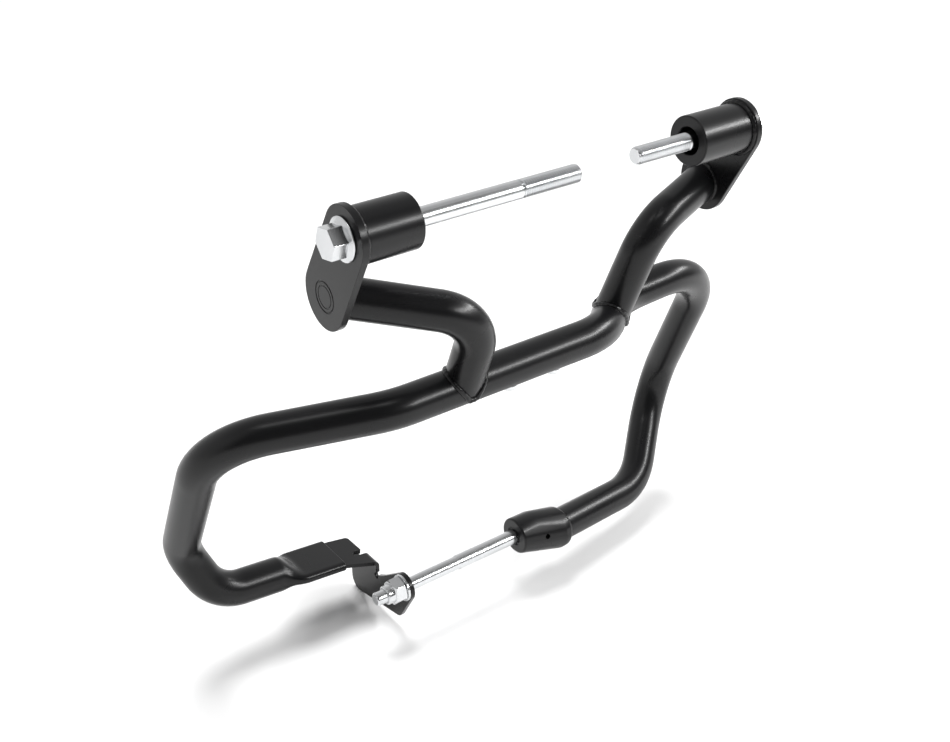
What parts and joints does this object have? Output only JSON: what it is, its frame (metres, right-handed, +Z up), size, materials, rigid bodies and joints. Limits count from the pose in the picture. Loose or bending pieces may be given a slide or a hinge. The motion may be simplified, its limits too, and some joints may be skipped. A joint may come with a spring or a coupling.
{
  "type": "motorcycle crash bars",
  "caption": "Tubular engine guard for a motorcycle: one bent hoop on two upright tubes with side plates, spacers, long bolts and a lower tie rod.",
  "frame": {"origin": "middle of the upper engine bolt axis, halfway between the inner faces of the two spacers", "axes": "+X across the motorcycle along the bolt axis, towards the right side plate of the picture; +Y back from the hoop's front towards the engine; +Z up"},
  "size_m": [0.4519, 0.162, 0.3721],
  "materials": {
    "powder_coat": "satin black powder coat",
    "zinc_plate": "bright zinc plating"
  },
  "bodies": {
    "root": {"front_hoop": "powder_coat", "left_upright": "powder_coat", "right_upright": "powder_coat", "left_plate": "powder_coat", "right_plate": "powder_coat", "left_spacer": "powder_coat", "right_spacer": "powder_coat", "lower_boss": "powder_coat", "lower_bracket": "powder_coat", "left_bolt": "zinc_plate", "right_bolt": "zinc_plate", "lower_rod": "zinc_plate", "lower_nut": "zinc_plate", "lower_washer": "zinc_plate", "left_screw": "zinc_plate", "right_screw": "zinc_plate", "left_saddle_weld": "powder_coat", "right_saddle_weld": "powder_coat", "left_plate_weld": "powder_coat", "right_plate_weld": "powder_coat", "left_spacer_weld": "powder_coat", "right_spacer_weld": "powder_coat", "boss_weld": "powder_coat"}
  },
  "joints": []
}
